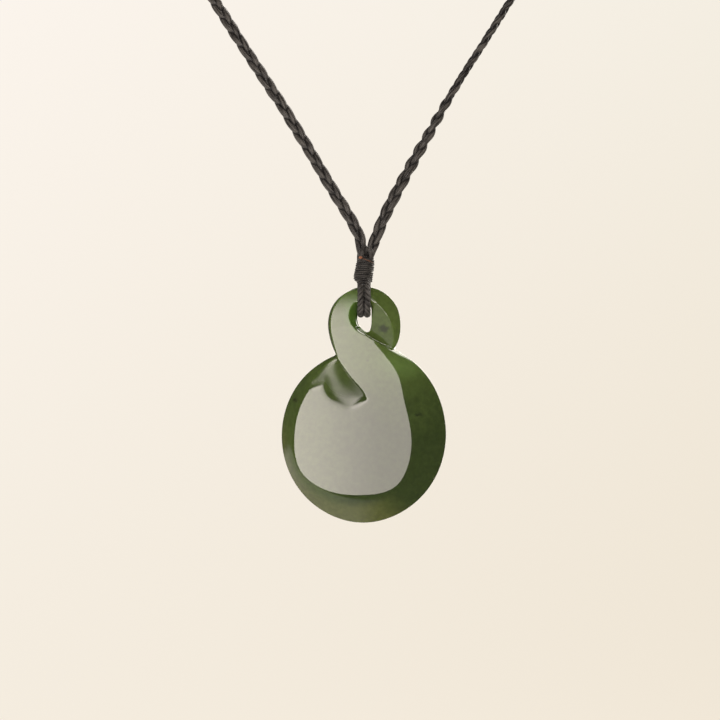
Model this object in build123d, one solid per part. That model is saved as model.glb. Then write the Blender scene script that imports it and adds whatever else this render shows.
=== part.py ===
"""Greenstone twist pendant on a plaited neck cord.

Lengths are millimetres and Z is up. The stone's front faces -Y. The model is drawn round the
middle of the stone's disc and then moved, so that its origin is the join at the nape.
"""
import os
from math import pi, radians, tan

from build123d import *

# Stone
PENDANT_HEIGHT = 51.8
DISC_WIDTH = 36.2
DISC_HEIGHT = 36.2
RING_WIDTH = 16.0
RING_SINK = 0.4
STONE_THICKNESS = 6.8
BAR_THICKNESS = 5.0
RIM_LAND = 0.8
EYE_WIDTH = 3.4
EYE_HEIGHT = 5.9
EYE_BAR_HEIGHT = 4.0
CUT_WEB = 0.5
LEG_SLOPE = 0.36
LEG_TURN = 18.8
STEP_DROP = 0.12
SINK_SLOPE = 0.21
BACK_EDGE_DROP = 1.2
BACK_POCKET_RISE = 1.3

# Loop of cord through the eye
LOOP_STRAND_WIDTH = 1.34
LOOP_STRAND_DEPTH = 2.0
LOOP_STRAND_GAP = 0.06
LOOP_CLEARANCE = 0.40
LOOP_CORNER_RADIUS = 2.6
LOOP_SHOULDER_RADIUS = 1.5
LOOP_ENTRY_GAP = 0.06
LOOP_ENTRY_RUN = 0.30
LOOP_ENTRY_LEAN = 0.07
LOOP_ENTRY_RADIUS = 0.25

# Whipping above the stone
WHIPPING_RISE = 1.5
WHIPPING_LENGTH = 5.2
WHIPPING_DIAMETER = 4.3

# Neck cord and the join at the nape
CORD_DIAMETER = 2.2
NAPE_LENGTH = 12.0
NAPE_DIAMETER = 4.6

# How far the cutting shapes stand out of the stone
CUT_MARGIN = 2.0
FACE_MARGIN = 0.01

disc_side = DISC_WIDTH / 2
disc_rise = DISC_HEIGHT / 2
ring_side = RING_WIDTH / 2
ring_rise = (PENDANT_HEIGHT - DISC_HEIGHT + RING_SINK) / 2
ring_top = PENDANT_HEIGHT - disc_rise
ring_centre = ring_top - ring_rise
half_thickness = STONE_THICKNESS / 2
eye_top = ring_top - EYE_BAR_HEIGHT
whipping_bottom = ring_top + WHIPPING_RISE
whipping_top = whipping_bottom + WHIPPING_LENGTH

# Outline of the disc, from the right notch down and round to the left notch. The rim is the
# stone's edge and the flat is the edge of the polished face. All are shares of half of the
# disc's width and height.
# name, rim_x, rim_z, flat_x, flat_z
DISC_OUTLINE = (
    ("right notch", 0.356, 1.105, 0.110, 1.193),
    ("right neck", 0.547, 0.989, 0.271, 1.000),
    ("right shoulder", 0.760, 0.779, 0.403, 0.796),
    ("upper right", 0.917, 0.486, 0.475, 0.508),
    ("right", 0.990, 0.083, 0.564, 0.083),
    ("lower right", 0.917, -0.331, 0.525, -0.309),
    ("bottom right", 0.663, -0.718, 0.381, -0.552),
    ("bottom", -0.017, -1.005, -0.028, -0.663),
    ("bottom left", -0.685, -0.724, -0.470, -0.602),
    ("lower left", -0.939, -0.331, -0.773, -0.376),
    ("left", -1.006, 0.083, -0.851, 0.055),
    ("upper left", -0.917, 0.486, -0.773, 0.420),
    ("left shoulder", -0.724, 0.779, -0.619, 0.680),
    ("left neck", -0.530, 0.939, -0.464, 0.862),
    ("left notch", -0.354, 1.033, -0.326, 0.994),
)

# Outline of the ring between the notches, from the left one over the top. All are shares of half
# of the ring's width and height, measured from the middle of the ring.
# name, rim_x, rim_z, flat_x, flat_z
RING_OUTLINE = (
    ("lower left", -0.950, -0.425, -0.885, -0.437),
    ("left", -1.006, -0.012, -0.940, -0.012),
    ("upper left", -0.900, 0.437, -0.830, 0.400),
    ("top left", -0.600, 0.795, -0.560, 0.735),
    ("left of top", -0.360, 0.932, -0.365, 0.815),
    ("top", 0.012, 1.000, -0.030, 0.600),
    ("right of top", 0.372, 0.930, 0.100, 0.440),
    ("top right", 0.594, 0.800, 0.210, 0.290),
    ("upper right", 0.912, 0.400, 0.360, 0.120),
    ("right", 0.987, -0.012, 0.450, -0.060),
    ("lower right", 0.937, -0.462, 0.480, -0.300),
)

# The slope from the face to the rim: how far out it is, as a share of the way from the flat to
# the rim, and how high it stands, as a share of half the thickness above the rim's land.
# out, height
SLOPE = ((0.0, 1.0), (0.30, 0.854), (0.60, 0.558), (0.85, 0.229), (1.0, 0.0))

# The eye, at the middle plane and at the front face. Shares of EYE_WIDTH to the side, and of
# EYE_HEIGHT down from the top of the eye.
# name, middle_x, middle_down, front_x, front_down
EYE_OUTLINE = (
    ("top", 0.0, 0.0, -0.147, -0.180),
    ("top right", 0.400, 0.070, 0.560, -0.115),
    ("right", 0.475, 0.340, 0.640, 0.360),
    ("bottom right", 0.455, 0.680, 0.570, 0.780),
    ("tip", 0.235, 1.0, 0.245, 1.100),
    ("bottom left", -0.395, 0.700, -0.740, 0.790),
    ("left", -0.475, 0.340, -1.029, 0.360),
    ("top left", -0.400, 0.070, -0.700, -0.140),
)

# The crossing strand's upper edge, under which the ring's right leg goes back. Shares as for the
# ring's outline.
# x, z
UPPER_EDGE = (
    (-0.250, -0.112), (-0.112, -0.231), (0.075, -0.362), (0.425, -0.560), (0.812, -0.725),
    (1.300, -0.990),
)

# The crossing strand's lower edge, under which the disc's upper left goes back. Shares as for
# the disc's outline.
# x, z
LOWER_EDGE = (
    (-0.354, 1.033), (-0.249, 0.873), (-0.133, 0.724), (-0.039, 0.619), (0.011, 0.532),
    (0.024, 0.450),
)

# The hollow beside the lower edge. It falls from the face to a shelf, and from the shelf to its
# foot at the edge. Along is measured from the hollow's tip up the edge, as a share of half the
# disc's height. Foot, inner and outer are the depths at the edge and at the shelf's two sides, and
# lip is how far it rises clear of the face, all as shares of half the thickness. The shelf's two
# sides and the width lie square to the edge, as shares of half the disc's width.
# along, foot, inner, outer, lip, shelf_start, shelf_end, width
POCKET = (
    (-0.070, -0.030, -0.035, -0.040, 0.070, 0.055, 0.120, 0.180),
    (0.020, 0.038, 0.034, 0.020, 0.055, 0.070, 0.135, 0.215),
    (0.133, 0.150, 0.108, 0.072, 0.065, 0.100, 0.178, 0.268),
    (0.300, 0.350, 0.165, 0.118, 0.080, 0.150, 0.238, 0.345),
    (0.460, 0.450, 0.205, 0.152, 0.100, 0.125, 0.230, 0.318),
    (0.600, 0.350, 0.245, 0.185, 0.110, 0.075, 0.230, 0.310),
    (0.800, 0.310, 0.275, 0.220, 0.120, 0.050, 0.220, 0.300),
)

# The low step across the disc's upper left, above which it sinks towards the notch. Shares as for
# the disc's outline.
# x, z
STEP_LINE = ((-0.665, 0.622), (-0.498, 0.681))

# Route of the right half of the neck cord, above the whipping: to the side, back and up.
# x, y, z
CORD_ROUTE = (
    (1.15, 0.0, 0.0),
    (1.15, 0.0, 3.0),
    (4.6, 1.0, 10.5),
    (31.0, 12.0, 55.0),
    (58.0, 36.0, 100.0),
    (74.0, 76.0, 133.0),
    (72.0, 120.0, 153.0),
    (46.0, 152.0, 163.0),
    (21.0, 163.0, 165.5),
    (6.0, 163.0, 165.5),
)

# Place of the join at the nape: it lies on the cord's last run, in the middle plane.
nape_reach = CORD_ROUTE[-1][1]
nape_rise = whipping_top + CORD_ROUTE[-1][2]


def disc_point(x, z, y=0.0):
    """A point given in shares of the disc's half width and half height."""
    return Vector(x * disc_side, y, z * disc_rise)


def ring_point(x, z, y=0.0):
    """A point given in shares of the ring's half width and half height, from its middle."""
    return Vector(x * ring_side, y, ring_centre + z * ring_rise)


def turned(shape):
    """The same shape on the stone's back: a half turn about the upright axis."""
    return shape.rotate(Axis.Z, 180)


def outline_points(rows, point, back):
    """Rim and flat points of an outline. The back's flat is the front's, turned over."""
    rims = [point(rim_x, rim_z) for _, rim_x, rim_z, _, _ in rows]
    flats = [point(flat_x, flat_z) for _, _, _, flat_x, flat_z in rows]
    if back:
        flats = [Vector(-flat.X, 0, flat.Z) for flat in reversed(flats)]
    return rims, flats


def stone_section(out, height, back):
    """The stone's outline at one height of the slope, as a wire of two splines."""
    side = 1 if back else -1
    y = side * (RIM_LAND / 2 + height * (half_thickness - RIM_LAND / 2))
    disc_rims, disc_flats = outline_points(DISC_OUTLINE, disc_point, back)
    ring_rims, ring_flats = outline_points(RING_OUTLINE, ring_point, back)
    disc = [flat + (rim - flat) * out for rim, flat in zip(disc_rims, disc_flats)]
    ring = [flat + (rim - flat) * out for rim, flat in zip(ring_rims, ring_flats)]
    raised = Vector(0, y, 0)
    lower = [point + raised for point in disc]
    upper = [lower[-1]] + [point + raised for point in ring] + [lower[0]]
    return Wire([Edge.make_spline(lower), Edge.make_spline(upper)])


def stone_blank():
    """The stone's whole outline with its sloping edges, before the strands are parted."""
    front = [stone_section(out, height, back=False) for out, height in SLOPE]
    rear = [stone_section(out, height, back=True) for out, height in SLOPE]
    land = Solid.make_loft([front[-1], rear[-1]], ruled=True)
    return land + Solid.make_loft(front) + Solid.make_loft(rear)


def taper_cutter():
    """What thins the front of the ring towards the bar of the eye, seen from the side."""
    foot = Vector(0, -half_thickness - FACE_MARGIN, ring_centre - 0.25 * ring_rise)
    middle = Vector(0, -BAR_THICKNESS / 2, eye_top + 0.2 * EYE_BAR_HEIGHT)
    top = Vector(0, -BAR_THICKNESS * 0.26, ring_top + 0.24 * EYE_BAR_HEIGHT)
    outside = -half_thickness - CUT_MARGIN
    top_corner = Vector(0, outside, top.Z)
    foot_corner = Vector(0, outside, foot.Z)
    profile = Wire([
        ThreePointArc(foot, middle, top).edge(),
        Edge.make_line(top, top_corner),
        Edge.make_line(top_corner, foot_corner),
        Edge.make_line(foot_corner, foot),
    ])
    return extrude(Face(profile), amount=3 * ring_side, dir=(1, 0, 0), both=True)


def eye_cutter():
    """The eye: narrow at the middle plane, with one side flared at each face."""
    def eye_point(x, down, y):
        return Vector(x * EYE_WIDTH, y, eye_top - down * EYE_HEIGHT)

    middle = [eye_point(x, down, 0) for _, x, down, _, _ in EYE_OUTLINE]
    front = [eye_point(x, down, 0) for _, _, _, x, down in EYE_OUTLINE]
    rear = [Vector(-point.X, 0, point.Z) for point in front]
    rear = [rear[0]] + rear[:0:-1]
    far = 1.44 * half_thickness
    levels = (
        (-far, front), (-half_thickness, front), (0, middle), (half_thickness, rear), (far, rear),
    )
    wires = []
    for y, points in levels:
        raised = [point + Vector(0, y, 0) for point in points]
        wires.append(Wire([Edge.make_spline(raised, periodic=True)]))
    return Solid.make_loft(wires)


def leg_cutter(drop):
    """What is taken off the front of the ring's right leg, which sinks behind the strand.

    The strand's edge is lower at the notch by the drop.
    """
    notch_x = UPPER_EDGE[-2][0]
    edge = []
    for x, z in UPPER_EDGE:
        share = max(x, 0) / notch_x
        edge.append(ring_point(x, z) + Vector(0, 0, -drop * share))
    along = (edge[-2] - edge[2]).normalized().rotate(Axis.Y, LEG_TURN)
    across = Vector(-along.Z, 0, along.X)
    far = 3 * ring_side
    start = edge[2]
    web = CUT_WEB / 2

    def floor(distance, height):
        return start - along * far + across * distance + Vector(0, -height, 0)

    above = half_thickness + CUT_MARGIN
    run = (above - web) / LEG_SLOPE
    under = -CUT_MARGIN
    profile = Polyline(
        floor(under, web), floor(0, web), floor(run, above), floor(under, above), floor(under, web)
    )
    wedge = extrude(make_face(profile), amount=2 * far, dir=along)
    inside_eye = 0.18 * EYE_WIDTH
    outside = 2 * ring_side
    eye_side = Vector(inside_eye, 0, edge[0].Z)
    top = Vector(inside_eye, 0, ring_top + CUT_MARGIN)
    corner = Vector(outside, 0, ring_top + CUT_MARGIN)
    foot = Vector(outside, 0, edge[-1].Z)
    plan = Wire([
        Edge.make_spline(edge),
        Edge.make_line(edge[-1], foot),
        Edge.make_line(foot, corner),
        Edge.make_line(corner, top),
        Edge.make_line(top, eye_side),
        Edge.make_line(eye_side, edge[0]),
    ])
    prism = extrude(Face(plan), amount=above + CUT_MARGIN, dir=(0, 1, 0), both=True)
    return wedge & prism


def lower_edge_points(rise):
    """The strand's lower edge, raised at the notch by the rise."""
    low = LOWER_EDGE[-1][1]
    reach = LOWER_EDGE[0][1] - low
    return [
        disc_point(x, z) + Vector(0, 0, rise * (z - low) / reach) for x, z in LOWER_EDGE
    ]


def beside_lower_edge(edge):
    """Everything over the disc's upper left, as far as the strand's lower edge."""
    outside = disc_point(-1.3, 0)
    top = edge[0] + disc_point(-0.144, 0.238)
    under = edge[-1] + disc_point(0.017, -0.25)
    plan = Wire([
        Edge.make_spline(edge),
        Edge.make_line(edge[-1], under),
        Edge.make_line(under, outside),
        Edge.make_line(outside, top),
        Edge.make_line(top, edge[0]),
    ])
    reach = half_thickness + 2 * CUT_MARGIN
    return extrude(Face(plan), amount=reach, dir=(0, 1, 0), both=True)


def sink_cutter(rise):
    """What takes the disc's upper left back, from the low step to the notch."""
    low, high = [disc_point(x, z) for x, z in STEP_LINE]
    along = (high - low).normalized()
    across = Vector(-along.Z, 0, along.X)
    above = half_thickness + CUT_MARGIN
    far = 2 * disc_side
    start = low - along * far
    rim = disc_side
    profile = Polyline(
        start + Vector(0, STEP_DROP - half_thickness, 0),
        start + across * rim + Vector(0, STEP_DROP + SINK_SLOPE * rim - half_thickness, 0),
        start + across * rim + Vector(0, -above, 0),
        start + Vector(0, -above, 0),
        start + Vector(0, STEP_DROP - half_thickness, 0),
    )
    wedge = extrude(make_face(profile), amount=2 * far, dir=along)
    return wedge & beside_lower_edge(lower_edge_points(rise))


def pocket_cutter(rise):
    """The hollow beside the strand's lower edge, with its shelf."""
    edge = lower_edge_points(rise)
    tip = edge[-1]
    along = (edge[0] - tip).normalized()
    away = Vector(-along.Z, 0, along.X)
    above = half_thickness + CUT_MARGIN
    wires = []
    for along_share, foot, inner, outer, lip, shelf_start, shelf_end, width in POCKET:
        start = tip + along * (along_share * disc_rise)

        def spot(out, depth):
            return start + away * (out * disc_side) + Vector(0, (depth - 1) * half_thickness, 0)

        drop = foot - inner
        rise_run = width - shelf_end
        floor = [
            spot(0, foot),
            spot(0.35 * shelf_start, inner + 0.62 * drop),
            spot(0.70 * shelf_start, inner + 0.20 * drop),
            spot(shelf_start, inner),
            spot((shelf_start + shelf_end) / 2, (inner + outer) / 2),
            spot(shelf_end, outer),
            spot(shelf_end + 0.40 * rise_run, 0.72 * outer),
            spot(shelf_end + 0.75 * rise_run, 0.32 * outer),
            spot(width, min(outer, 0)),
            spot(width + 0.055, -lip),
        ]
        inside = spot(-0.2, foot)
        inside_top = Vector(inside.X, -above, inside.Z)
        lip_top = Vector(floor[-1].X, -above, floor[-1].Z)
        wires.append(Wire([
            Edge.make_line(inside_top, inside),
            Edge.make_line(inside, floor[0]),
            Edge.make_spline(floor),
            Edge.make_line(floor[-1], lip_top),
            Edge.make_line(lip_top, inside_top),
        ]))
    return Solid.make_loft(wires) & beside_lower_edge(edge)


def make_stone():
    """The carved stone: its blank, parted on both faces, with the eye through it."""
    taper = taper_cutter()
    stone = stone_blank()
    stone -= taper
    stone -= turned(taper)
    stone -= leg_cutter(0)
    stone -= turned(leg_cutter(BACK_EDGE_DROP))
    stone -= sink_cutter(0)
    stone -= turned(sink_cutter(BACK_POCKET_RISE))
    stone -= pocket_cutter(0)
    stone -= turned(pocket_cutter(BACK_POCKET_RISE))
    stone -= eye_cutter()
    return stone


def make_loop_strand(side):
    """One bundle of the doubled cord, down one face of the bar, under it and up the other."""
    x = side * (LOOP_STRAND_WIDTH + LOOP_STRAND_GAP) / 2
    out = BAR_THICKNESS / 2 + LOOP_CLEARANCE + LOOP_STRAND_DEPTH / 2
    bottom = eye_top - LOOP_CLEARANCE - LOOP_STRAND_DEPTH / 2
    shoulder = whipping_bottom - LOOP_STRAND_DEPTH
    inner = (LOOP_STRAND_DEPTH + LOOP_ENTRY_GAP) / 2
    lean = inner + LOOP_ENTRY_LEAN
    entry = whipping_bottom - LOOP_ENTRY_RUN
    points = (
        (x, -inner, whipping_bottom),
        (x, -lean, entry),
        (x, -out, shoulder),
        (x, -out, bottom),
        (x, out, bottom),
        (x, out, shoulder),
        (x, lean, entry),
        (x, inner, whipping_bottom),
    )
    corner = LOOP_CORNER_RADIUS
    bend = LOOP_SHOULDER_RADIUS
    first = LOOP_ENTRY_RADIUS
    path = FilletPolyline(*points, radius=(first, bend, corner, corner, bend, first))
    start = Plane(points[0], x_dir=(1, 0, 0), z_dir=path.tangent_at(0))
    section = start * Ellipse(LOOP_STRAND_WIDTH / 2, LOOP_STRAND_DEPTH / 2)
    return sweep(section, path=path)


def make_whipping():
    """The wound thread, as a barrel."""
    radius = WHIPPING_DIAMETER / 2
    rows = ((0.0, 0.84), (0.12, 0.95), (0.30, 1.0), (0.70, 0.93), (1.0, 0.84))
    circles = [
        Pos(0, 0, whipping_bottom + along * WHIPPING_LENGTH) * Circle(share * radius).wire()
        for along, share in rows
    ]
    return Solid.make_loft(circles)


def cord_radii(points):
    """A radius for each corner: 0.45 of the shorter run over the tangent of half the turn."""
    radii = []
    for before, corner, after in zip(points, points[1:], points[2:]):
        first = corner - before
        second = after - corner
        turn = radians(first.get_angle(second))
        radii.append(0.45 * min(first.length, second.length) / tan(turn / 2))
    return radii


def make_neck_cord(side):
    """One half of the neck cord, from the whipping to the join at the nape."""
    points = [Vector(side * x, y, whipping_top + z) for x, y, z in CORD_ROUTE]
    points[-1] = Vector(side * NAPE_LENGTH / 2, points[-1].Y, points[-1].Z)
    radii = cord_radii(points)
    path = FilletPolyline(*points, radius=radii)
    if side > 0:
        print("neck cord radii, mm:", [round(radius, 1) for radius in radii])
    section = Plane(points[0], z_dir=path.tangent_at(0)) * Circle(CORD_DIAMETER / 2)
    cord = sweep(section, path=path)
    expected = pi * CORD_DIAMETER ** 2 / 4 * path.length
    print("neck cord length, mm:", round(path.length, 1), "volume share:", round(cord.volume / expected, 4))
    return cord


def make_nape_whipping():
    """The join at the nape, one plain wound barrel across the back."""
    barrel = Cylinder(NAPE_DIAMETER / 2, NAPE_LENGTH, rotation=(0, 90, 0))
    return Pos(0, nape_reach, nape_rise) * barrel


parts = {
    "greenstone_twist": make_stone(),
    "eye_loop_left": make_loop_strand(-1),
    "eye_loop_right": make_loop_strand(1),
    "cord_whipping": make_whipping(),
    "neck_cord_left": make_neck_cord(-1),
    "neck_cord_right": make_neck_cord(1),
    "nape_whipping": make_nape_whipping(),
}

os.makedirs("parts", exist_ok=True)
for name, shape in parts.items():
    placed = shape.moved(Pos(0, -nape_reach, -nape_rise))
    export_step(placed, f"parts/{name}.step")
    print(name, round(shape.volume, 2), shape.is_valid)
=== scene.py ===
"""Greenstone twist pendant on a plaited neck cord: its looks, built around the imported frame.

Lengths are metres, as in the frame: X to the side, Y away from the viewer, Z up. The origin is the
join of the cord at the nape, and the stone hangs below it and in front of it.
"""

from math import cos, pi, radians, sin, tanh, tau

import bmesh
import bpy
from bpy.props import FloatProperty, FloatVectorProperty, IntProperty, PointerProperty
from bpy.types import Operator, Panel, PropertyGroup
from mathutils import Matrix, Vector, kdtree, noise


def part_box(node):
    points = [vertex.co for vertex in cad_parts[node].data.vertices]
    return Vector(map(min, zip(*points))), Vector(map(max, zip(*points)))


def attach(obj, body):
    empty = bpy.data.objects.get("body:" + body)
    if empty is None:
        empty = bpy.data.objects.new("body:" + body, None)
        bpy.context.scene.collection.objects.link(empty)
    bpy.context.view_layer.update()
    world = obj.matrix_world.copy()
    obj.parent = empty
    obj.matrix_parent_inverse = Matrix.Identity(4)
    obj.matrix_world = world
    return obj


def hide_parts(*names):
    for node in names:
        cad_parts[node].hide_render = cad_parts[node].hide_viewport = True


bl_info = {
    "name": "Greenstone twist pendant",
    "version": (1, 0, 0),
    "blender": (4, 5, 0),
    "location": "3D View > Sidebar > Greenstone",
    "description": "Dresses the greenstone twist pendant and its plaited neck cord",
    "category": "Object",
}

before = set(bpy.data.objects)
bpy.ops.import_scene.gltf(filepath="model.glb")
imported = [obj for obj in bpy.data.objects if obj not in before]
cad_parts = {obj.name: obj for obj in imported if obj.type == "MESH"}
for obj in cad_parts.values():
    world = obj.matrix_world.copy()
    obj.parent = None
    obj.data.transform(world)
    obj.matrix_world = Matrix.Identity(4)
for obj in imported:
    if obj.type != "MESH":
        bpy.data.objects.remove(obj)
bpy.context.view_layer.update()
whipping_low, whipping_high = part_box("cord_whipping")

# Middle of the stone's disc, and the whipping's two ends on the upright line above it.
DISC_MIDDLE = Vector((0.0, -0.163, -0.2059))
WHIPPING_FOOT = Vector((DISC_MIDDLE.x, DISC_MIDDLE.y, whipping_low.z))
WHIPPING_TOP = Vector((DISC_MIDDLE.x, DISC_MIDDLE.y, whipping_high.z))
MM = 0.001

# Route of the neck cord's two halves above the whipping's top: to the side, back and up. The rear
# stretch follows the CAD, and the front stretch is set to the photograph.
LEFT_ROUTE = (
    (-0.00060, 0.0, -0.0012),
    (-0.00058, 0.0, 0.0008),
    (-0.00082, 0.00003, 0.0036),
    (-0.00196, 0.0003, 0.0063),
    (-0.00351, 0.0007, 0.0090),
    (-0.00657, 0.0018, 0.0140),
    (-0.01014, 0.0031, 0.0200),
    (-0.01421, 0.0048, 0.0270),
    (-0.01844, 0.0065, 0.0340),
    (-0.02306, 0.0083, 0.0410),
    (-0.02818, 0.0107, 0.0490),
    (-0.03317, 0.0138, 0.0570),
    (-0.0595, 0.0360, 0.1000),
    (-0.0740, 0.0760, 0.1330),
    (-0.0720, 0.1200, 0.1530),
    (-0.0460, 0.1520, 0.1630),
    (-0.0210, 0.1630, 0.1655),
    (-0.0045, 0.1630, 0.1655),
)
RIGHT_ROUTE = (
    (0.00080, 0.0, -0.0012),
    (0.00110, 0.0, 0.0008),
    (0.00240, 0.0002, 0.0036),
    (0.00330, 0.0004, 0.0063),
    (0.00446, 0.0008, 0.0090),
    (0.00690, 0.0018, 0.0140),
    (0.01018, 0.0031, 0.0200),
    (0.01412, 0.0048, 0.0270),
    (0.01795, 0.0065, 0.0340),
    (0.02215, 0.0082, 0.0410),
    (0.02732, 0.0107, 0.0490),
    (0.03222, 0.0138, 0.0570),
    (0.0585, 0.0360, 0.1000),
    (0.0740, 0.0760, 0.1330),
    (0.0720, 0.1200, 0.1530),
    (0.0460, 0.1520, 0.1630),
    (0.0210, 0.1630, 0.1655),
    (0.0045, 0.1630, 0.1655),
)

# How far the plait is turned about its own line.
# distance along, degrees
LEFT_TURNS = ((0.0, 0.0), (0.30, 0.0))
RIGHT_TURNS = ((0.0, 0.0), (0.015, 15.0), (0.030, 45.0), (0.045, 85.0), (0.30, 90.0))

# How wide each half is: thinner where it leaves the whipping, and on the right also where it leaves
# the picture.
# distance along, share
LEFT_GATHER = ((0.0, 0.80), (0.0015, 0.86), (0.0045, 0.95), (0.008, 1.0))
RIGHT_GATHER = (*LEFT_GATHER, (0.026, 1.00), (0.048, 0.84), (0.075, 0.84), (0.12, 1.0))

# Distance between two points of the neck cord's line, and of the loops' and tucked ends' lines.
PLAIT_STEP = 0.00034
FINE_STEP = 0.0002

# Route of a bundle of the doubled cord through the eye, from the whipping's foot: back and up.
LOOP_ROUTE = (
    (-0.00103, 0.0006),
    (-0.00115, -0.0004),
    (-0.0033, -0.0016),
    (-0.00405, -0.0034),
    (-0.0040, -0.0058),
    (-0.0030, -0.0075),
    (0.0030, -0.0075),
    (0.0040, -0.0058),
    (0.00405, -0.0034),
    (0.0033, -0.0016),
    (0.00115, -0.0004),
    (0.00103, 0.0006),
)

# Each of the loop's two bundles: its width, the thickness of one of its three strands, the distance
# between two crossings, how far it stands to the side, and where its twist starts, in radians.
LOOP_WIDTH = 0.00158
LOOP_STRAND = 0.00080
LOOP_PITCH = 0.00105
LOOP_SHIFT = -0.00012
LOOP_START = 0.9

# Half of the stone's thickness, how far from the disc's middle its faces swell, and how close two
# points of its mesh are to count as one.
HALF_THICKNESS = 0.0034
CROWN_REACH = 0.018
SAME_POINT = 0.000001

# The front's hollow is measured in millimetres from the disc's middle, from here to the inclusions.
# Its oval: middle and half size, to the side and up. What lies further forward than the front line
# is on the front. A wall is what faces away from the front and lies above the wall's foot.
HOLLOW_MIDDLE = (-3.5, 10.5)
HOLLOW_HALF = (8.5, 7.5)
FRONT_LINE = -0.2
WALL_FACING = -0.6
WALL_FOOT = 9.2

# The hollow's side towards the strand, and how often its floor is smoothed.
# height, side
HOLLOW_SIDE = (
    (9.0, 4.0), (9.5, -0.22), (11.2, -1.15), (13.1, -2.85), (15.8, -4.95), (18.7, -6.9),
)
HOLLOW_ROUNDS = 110

# The hollow's tip, the direction in which it runs from there, to the side and up, how far from the
# tip its depth fades, and how.
# along, share
HOLLOW_TIP = Vector((0.43, 8.1))
HOLLOW_RUN = Vector((-0.5416, 0.8406))
HOLLOW_TIP_REACH = 5.0
HOLLOW_FADE = ((-0.2, 0.0), (0.2, 0.10), (0.8, 0.50), (1.4, 0.90), (1.8, 1.0))

# Where the hollow is hazy, and the thin stone round the eye: middle and half size.
HAZE_MIDDLE = (-5.0, -3.0, 12.0)
HAZE_HALF = (6.0, 4.0, 5.5)
EYE_MIDDLE = (-1.6, 0.0, 27.5)
EYE_HALF = (3.6, 6.0, 5.0)

# The stone's dark inclusions and specks, and two pale clouds.
# middle, half size, strength, colour
INCLUSIONS = (
    ((11.8, -2.6, 5.7), (0.95, 1.6, 0.42), 0.85, (0.014, 0.018, 0.008)),
    ((-15.1, -1.0, 8.9), (0.8, 2.5, 0.55), 0.75, (0.02, 0.02, 0.008)),
    ((4.3, -1.4, 24.4), (1.3, 2.2, 0.9), 0.75, (0.03, 0.035, 0.022)),
    ((6.7, -3.4, -4.3), (0.32, 1.0, 0.32), 0.6, (0.02, 0.03, 0.01)),
    ((0.7, -3.4, 17.6), (0.4, 1.0, 0.3), 0.4, (0.03, 0.04, 0.02)),
    ((13.0, 2.4, -3.0), (1.0, 1.6, 0.4), 0.7, (0.014, 0.018, 0.008)),
    ((-6.0, 2.8, 2.0), (0.7, 1.6, 1.1), 0.5, (0.02, 0.03, 0.01)),
    ((8.5, -1.0, 17.5), (6.5, 7.0, 4.5), 0.50, (0.12, 0.20, 0.055)),
    ((-4.0, -1.0, 31.5), (6.0, 5.0, 3.0), 0.45, (0.13, 0.21, 0.06)),
)

# The front winding, in metres: its radius up its height, and how far its middle stands to the side.
# share of the height, radius, offset
WHIPPING_SHAPE = (
    (0.0, 0.00192, -0.00020),
    (0.17, 0.00218, -0.00033),
    (0.68, 0.00208, 0.00010),
    (0.93, 0.00194, 0.00024),
    (1.0, 0.00182, 0.00026),
)

# How far the front winding starts and ends below the whipping's foot and top, and the radius that
# the share of 1.0 stands for along the barrel under a winding.
BELOW_FOOT = 0.0005
BELOW_TOP = 0.0003
BARREL_RADIUS = 0.001

# The cord's two tucked ends over the winding's top: places from the whipping's top, and then how
# thick each is along its length, as a share of the thread.
# share of the length, thickness
WHIPPING_ENDS = (
    (
        ((-0.0008, -0.0010, -0.0010), (-0.0008, -0.0016, 0.0002), (-0.0004, -0.0014, 0.0014),
         (0.0001, -0.0006, 0.0022)),
        ((0.0, 2.2), (0.4, 2.7), (1.0, 2.2)),
    ),
    (
        ((0.0013, -0.0008, -0.0010), (0.0016, -0.0016, 0.0004), (0.0011, -0.0018, 0.0017),
         (0.0003, -0.0012, 0.0014), (0.0002, -0.0004, 0.0004)),
        ((0.0, 2.0), (0.4, 2.6), (1.0, 2.2)),
    ),
)

# The brown spot on the winding, from the whipping's top, and the brown thread beside it, from the
# spot and tilted: places, half sizes and colours.
BROWN_SPOT = Vector((-0.0009, -0.0017, -0.0003))
BROWN_SPOT_HALF = (0.0005, 0.0008, 0.00033)
BROWN_SPOT_COLOUR = (0.28, 0.10, 0.045)
BROWN_THREAD_SHIFT = (-0.0017, 0.0, 0.0)
BROWN_THREAD_TILT = radians(-21.7)
BROWN_THREAD_HALF = (0.0018, 0.004, 0.00011)
BROWN_THREAD_COLOUR = (0.12, 0.052, 0.028)
SPECK_COLOUR = (0.30, 0.27, 0.23)

# Length of waxed thread over which the front winding's streaks are spread. The nape's is twice it.
STREAK_RUN = 0.14

# The winding at the nape: its thread as a share of the front's, and its radius along it.
# share of the length, share of the radius
NAPE_THREAD = 1.3
NAPE_SHAPE = ((0.0, 0.93), (0.1, 1.0), (0.9, 1.0), (1.0, 0.93))

# Where the middle of the picture lies, to the side and up, and the camera's film width in
# millimetres.
VIEW_SIDE = -0.001
VIEW_UP = -0.1883
FILM_WIDTH = 36.0

# The backdrop from the middle of its floor outwards and up, and its colours at the right and left,
# low and high: painted light makes it lighter at the left and higher up.
# reach, height
BACKDROP_PROFILE = (
    (0.0, -0.45), (1.2, -0.45), (2.0, -0.42), (2.6, -0.25), (3.0, 0.15), (3.15, 0.8), (3.2, 2.4),
)
CREAM_LOW = ((0.835, 0.750, 0.620), (0.890, 0.825, 0.720))
CREAM_HIGH = ((0.893, 0.842, 0.748), (0.955, 0.895, 0.828))

# The front softbox from the disc's middle, the size and colour of both, and the rear one's share.
SOFTBOX_PLACE = Vector((-0.01, -1.2, 0.25))
SOFTBOX_SIZE = (0.56, 1.0)
SOFTBOX_COLOUR = (1.0, 0.90, 0.84)
REAR_SHARE = 0.7

# Direction of the lamp that the polish mirrors: to the side, back and up.
LAMP_DIRECTION = (0.60, 0.0, 0.80)


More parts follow.
